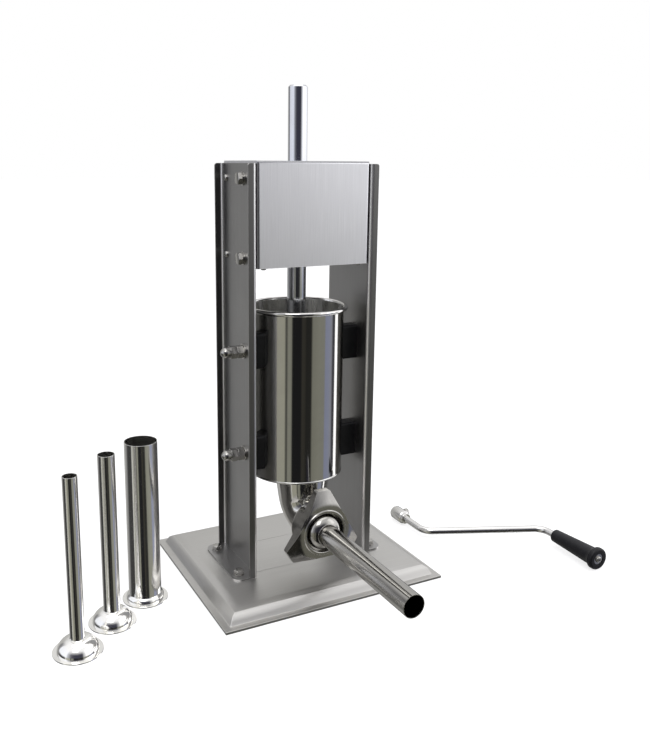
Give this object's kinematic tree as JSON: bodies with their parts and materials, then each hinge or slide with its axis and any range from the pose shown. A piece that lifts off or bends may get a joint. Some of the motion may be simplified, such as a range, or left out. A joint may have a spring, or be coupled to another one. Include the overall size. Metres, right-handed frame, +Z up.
{
  "type": "sausage stuffer",
  "caption": "Vertical rack-driven sausage stuffer with steel frame, polished barrel, gearbox, outlet wing nut, stuffing tubes and a loose crank.",
  "frame": {"origin": "centre of the base pan's footprint, on the surface it stands on", "axes": "+Z up along the press rod, +X towards the crank side (gear shaft ends), -Y towards the outlet tube"},
  "size_m": [0.8248, 0.48, 0.73],
  "materials": {
    "brushed_frame": "satin brushed stainless sheet",
    "cover_sheet": "bright vertically brushed stainless sheet",
    "rubber": "moulded rubber",
    "fastener": "bright stainless",
    "cross_member": "machined",
    "bronze": "sintered bronze",
    "polished_steel": "polished stainless",
    "lug_black": "satin black moulding",
    "cast_steel": "tumbled stainless casting",
    "chromed_rod": "ground and chromed",
    "piston_steel": "turned stainless",
    "seal": "food grade silicone",
    "gear_steel": "hobbed steel with a film of grease",
    "crank_steel": "plated bar",
    "grip_plastic": "fine moulded texture"
  },
  "bodies": {
    "press_frame": {"base_plate": "brushed_frame", "rubber_feet": "rubber", "left_column": "brushed_frame", "right_column": "brushed_frame", "foot_bolts": "fastener", "foot_washers": "fastener", "foot_nuts": "fastener", "gearbox_left_plate": "brushed_frame", "gearbox_right_plate": "brushed_frame", "lower_cross_member": "cross_member", "upper_cross_member": "cross_member", "rod_guide_lower": "bronze", "rod_guide_upper": "bronze", "gearbox_cover": "cover_sheet", "gearbox_tray": "brushed_frame", "tray_screws": "fastener", "cover_screws": "fastener", "gearbox_bolts": "fastener", "gearbox_bolt_washers": "fastener", "gearbox_screws": "fastener", "shaft_bushes": "bronze", "cylinder_barrel": "polished_steel", "cylinder_floor": "polished_steel", "outlet_elbow": "polished_steel", "outlet_collar": "polished_steel", "upper_lugs": "lug_black", "lower_lugs": "lug_black", "lug_studs": "fastener", "stud_washers": "fastener", "stud_nuts": "fastener", "acorn_nuts": "fastener", "tube_gasket": "seal"},
    "press_ram": {"press_rod": "chromed_rod", "piston_lower_plate": "piston_steel", "piston_seal": "seal", "piston_upper_plate": "piston_steel", "piston_nut": "fastener", "air_valve_seat": "piston_steel"},
    "vent_pin": {"air_valve_pin": "piston_steel"},
    "fast_drive": {"fast_shaft": "gear_steel", "rack_pinion": "gear_steel", "large_gear": "gear_steel", "fast_gear_pins": "fastener", "fast_shaft_circlips": "fastener"},
    "slow_drive": {"slow_shaft": "gear_steel", "slow_pinion": "gear_steel", "slow_gear_pin": "fastener", "slow_shaft_circlips": "fastener"},
    "fitted_tube": {"stuffing_tube": "polished_steel"},
    "outlet_nut": {"wing_nut": "cast_steel"},
    "loose_crank": {"crank_bar": "crank_steel", "crank_socket": "crank_steel", "crank_set_screw": "fastener", "grip_screw": "fastener"},
    "crank_handle": {"crank_grip": "grip_plastic"},
    "small_tube": {"spare_tube_small": "polished_steel"},
    "medium_tube": {"spare_tube_medium": "polished_steel"},
    "large_tube": {"spare_tube_large": "polished_steel"}
  },
  "joints": [
    {"name": "ram_slide", "type": "slide", "parent": "press_frame", "child": "press_ram", "axis": [0, 0, 1], "range_m": [-0.094, 0.172]},
    {"name": "fast_spin", "type": "hinge", "parent": "press_frame", "child": "fast_drive", "pos_m": [0, 0.019, 0.534], "axis": [1, 0, 0], "range_deg": [-704.9, 385.7]},
    {"name": "slow_spin", "type": "hinge", "parent": "press_frame", "child": "slow_drive", "pos_m": [0, 0.019, 0.5805], "axis": [1, 0, 0], "range_deg": [-1320, 2414.4]},
    {"name": "vent_slide", "type": "slide", "parent": "press_ram", "child": "vent_pin", "axis": [0, 0, -1], "range_m": [0, 0.004], "stiffness_N_per_m": 400, "springref_m": -0.003},
    {"name": "tube_slide", "type": "slide", "parent": "press_frame", "child": "fitted_tube", "axis": [0, -1, 0], "range_m": [0, 0.016]},
    {"name": "nut_turn", "type": "hinge", "parent": "fitted_tube", "child": "outlet_nut", "pos_m": [0, -0.104, 0.09], "axis": [0, -1, 0], "range_deg": [-1, 1441]},
    {"name": "crank_lift", "type": "slide", "parent": "press_frame", "child": "loose_crank", "axis": [0, 0, 1], "range_m": [0, 0.3]},
    {"name": "grip_spin", "type": "hinge", "parent": "loose_crank", "child": "crank_handle", "pos_m": [0.41289, -0.19, 0.01775], "axis": [0, 1, 0], "continuous": true},
    {"name": "small_tube_lift", "type": "slide", "parent": "press_frame", "child": "small_tube", "axis": [0, 0, 1], "range_m": [0, 0.3]},
    {"name": "medium_tube_lift", "type": "slide", "parent": "press_frame", "child": "medium_tube", "axis": [0, 0, 1], "range_m": [0, 0.3]},
    {"name": "large_tube_lift", "type": "slide", "parent": "press_frame", "child": "large_tube", "axis": [0, 0, 1], "range_m": [0, 0.3]}
  ],
  "couplings": [
    {"joint": "fast_spin", "follows": "ram_slide", "rad_per_m": -71.429},
    {"joint": "slow_spin", "follows": "ram_slide", "rad_per_m": 244.9},
    {"joint": "nut_turn", "follows": "tube_slide", "rad_per_m": 1570.8}
  ]
}
